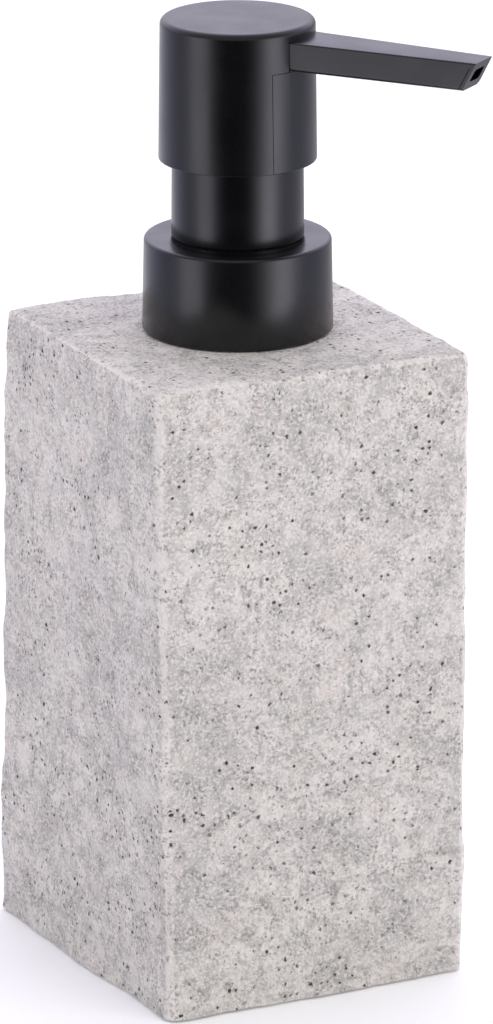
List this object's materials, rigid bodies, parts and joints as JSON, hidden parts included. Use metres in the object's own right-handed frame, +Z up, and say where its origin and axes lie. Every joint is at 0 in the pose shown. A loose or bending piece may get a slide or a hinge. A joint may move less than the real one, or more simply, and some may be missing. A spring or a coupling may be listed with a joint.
{
  "type": "soap pump dispenser",
  "caption": "Square stone-effect bottle with a black screw-on lotion pump: a press head with a long flat spout swivels and springs back.",
  "frame": {"origin": "the point where the pump's axis meets the surface that the dispenser stands on, under the foam pad", "axes": "+Z up along the pump's axis, +X and +Y square to the bottle's sides; the spout points between +X and -Y"},
  "size_m": [0.0685, 0.0783, 0.1836],
  "materials": {
    "stone_resin": "cast polyresin with mineral filler, matte, grey cloud and dark specks",
    "black_plastic": "black moulded ABS, satin",
    "natural_plastic": "natural polypropylene, slightly milky",
    "soft_seal": "soft polyethylene and elastomer seal, matte",
    "clear_tube": "translucent polyethylene tube",
    "spring_steel": "bright stainless spring wire",
    "ball_glass": "green-tinted glass ball",
    "foam_pad": "black closed-cell foam, matte"
  },
  "bodies": {
    "bottle": {"bottle_body": "stone_resin", "base_plate": "stone_resin", "base_pad": "foam_pad", "neck_insert": "natural_plastic"},
    "pump_body": {"pump_cylinder": "natural_plastic", "neck_gasket": "soft_seal", "stem_guide": "natural_plastic", "ball_cage": "natural_plastic", "dip_tube": "clear_tube", "return_spring": "spring_steel"},
    "closure": {"closure_cap": "natural_plastic", "collar_cover": "black_plastic", "guide_sleeve": "black_plastic"},
    "piston": {"piston_seal": "soft_seal"},
    "head": {"head_shell": "black_plastic", "head_core": "natural_plastic", "spout": "black_plastic", "spout_nozzle": "black_plastic", "piston_stem": "natural_plastic", "outlet_valve_seat": "natural_plastic"},
    "inlet_ball": {"inlet_ball": "ball_glass"},
    "outlet_ball": {"outlet_ball": "ball_glass"}
  },
  "joints": [
    {"name": "collar_turn", "type": "hinge", "parent": "pump_body", "child": "closure", "pos_m": [0, 0, 0.13], "axis": [0, 0, 1], "range_deg": [0, 450]},
    {"name": "pump_rise", "type": "slide", "parent": "bottle", "child": "pump_body", "axis": [0, 0, 1], "range_m": [0, 0.00528]},
    {"name": "pump_stroke", "type": "slide", "parent": "pump_body", "child": "piston", "axis": [0, 0, -1], "range_m": [0, 0.014], "stiffness_N_per_m": 1080, "springref_m": -0.0066, "deforming": ["return_spring"]},
    {"name": "head_swivel", "type": "hinge", "parent": "piston", "child": "head", "pos_m": [0, 0, 0.17], "axis": [0, 0, 1], "continuous": true},
    {"name": "inlet_ball_lift", "type": "slide", "parent": "pump_body", "child": "inlet_ball", "axis": [0, 0, 1], "range_m": [0, 0.002]},
    {"name": "outlet_ball_lift", "type": "slide", "parent": "head", "child": "outlet_ball", "axis": [0, 0, 1], "range_m": [0, 0.0015]}
  ],
  "couplings": [
    {"joint": "collar_turn", "follows": "pump_rise", "rad_per_m": 1485.4}
  ]
}
